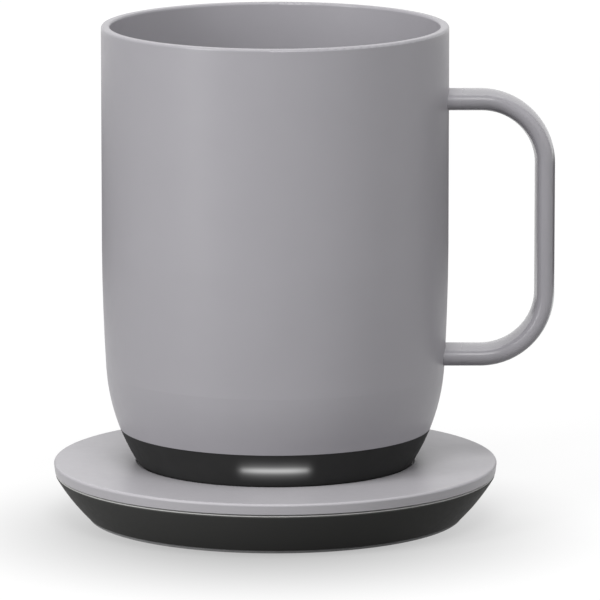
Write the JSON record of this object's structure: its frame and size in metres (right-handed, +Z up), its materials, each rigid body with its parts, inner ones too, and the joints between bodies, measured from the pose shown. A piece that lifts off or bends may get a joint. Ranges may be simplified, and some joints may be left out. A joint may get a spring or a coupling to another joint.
{
  "type": "self-heating mug",
  "caption": "Double-walled mug with a loop handle and a dark heated base with a front light bar, standing on a round charging coaster.",
  "frame": {"origin": "centre of the coaster's foot pad, on the table", "axes": "+Z up; +X from the mug's axis to its handle; -Y the front, where the light bar is"},
  "size_m": [0.1245, 0.1104, 0.1233],
  "materials": {
    "coated_steel": "fine matte ceramic coat on steel",
    "coated_plate": "matte, matched to the mug",
    "dark_plastic": "satin moulded",
    "soft_rubber": "matte silicone",
    "contact_gold": "plated",
    "bright_steel": "plain",
    "circuit_board": "solder mask",
    "dark_component": "moulded",
    "lamp_white": "lit",
    "light_guide": "clear, lit from behind",
    "tray_plastic": "moulded",
    "cell_wrap": "film wrap",
    "insulation_felt": "felt",
    "heater_amber": "film",
    "spreader_metal": "plain"
  },
  "bodies": {
    "coaster": {"coaster_plate": "coated_plate", "coaster_shell": "dark_plastic", "coaster_foot_pad": "soft_rubber", "coaster_screws": "bright_steel", "contact_hub": "dark_plastic", "pin_board": "circuit_board", "pin_barrels": "contact_gold", "inner_pin_spring": "bright_steel", "outer_pin_spring": "bright_steel", "cord_gland": "soft_rubber"},
    "mug": {"mug_shell": "coated_steel", "inner_cup": "coated_steel", "handle": "coated_steel", "base_housing": "dark_plastic", "bottom_cover": "dark_plastic", "base_seal": "soft_rubber", "mug_foot_ring": "soft_rubber", "outer_contact_ring": "contact_gold", "inner_contact_ring": "contact_gold", "cover_screws": "bright_steel", "board_screws": "bright_steel", "tray_screws": "bright_steel", "button_spring": "bright_steel", "battery_tabs": "bright_steel", "tact_switch": "bright_steel", "processor_can": "bright_steel", "control_board": "circuit_board", "power_coil": "dark_component", "heater_plug": "dark_component", "status_lamps": "lamp_white", "light_guide": "light_guide", "battery_tray": "tray_plastic", "battery_cells": "cell_wrap", "insulation_disc": "insulation_felt", "heater_film": "heater_amber", "temperature_sensors": "heater_amber", "heat_spreader": "spreader_metal"},
    "power_button": {"power_button": "dark_plastic"},
    "inner_pin": {"inner_pin": "contact_gold"},
    "outer_pin": {"outer_pin": "contact_gold"}
  },
  "joints": [
    {"name": "mug_lift", "type": "slide", "parent": "coaster", "child": "mug", "axis": [0, 0, 1], "range_m": [0, 0.15]},
    {"name": "button_press", "type": "slide", "parent": "mug", "child": "power_button", "axis": [0, 0, 1], "range_m": [0, 0.0005], "stiffness_N_per_m": 2000, "springref_m": -0.0002, "deforming": ["button_spring"]},
    {"name": "inner_pin_press", "type": "slide", "parent": "coaster", "child": "inner_pin", "axis": [0, 0, 1], "range_m": [-0.0009, 0], "stiffness_N_per_m": 600, "springref_m": 0.0003, "deforming": ["inner_pin_spring"]},
    {"name": "outer_pin_press", "type": "slide", "parent": "coaster", "child": "outer_pin", "axis": [0, 0, 1], "range_m": [-0.0009, 0], "stiffness_N_per_m": 600, "springref_m": 0.0003, "deforming": ["outer_pin_spring"]}
  ]
}
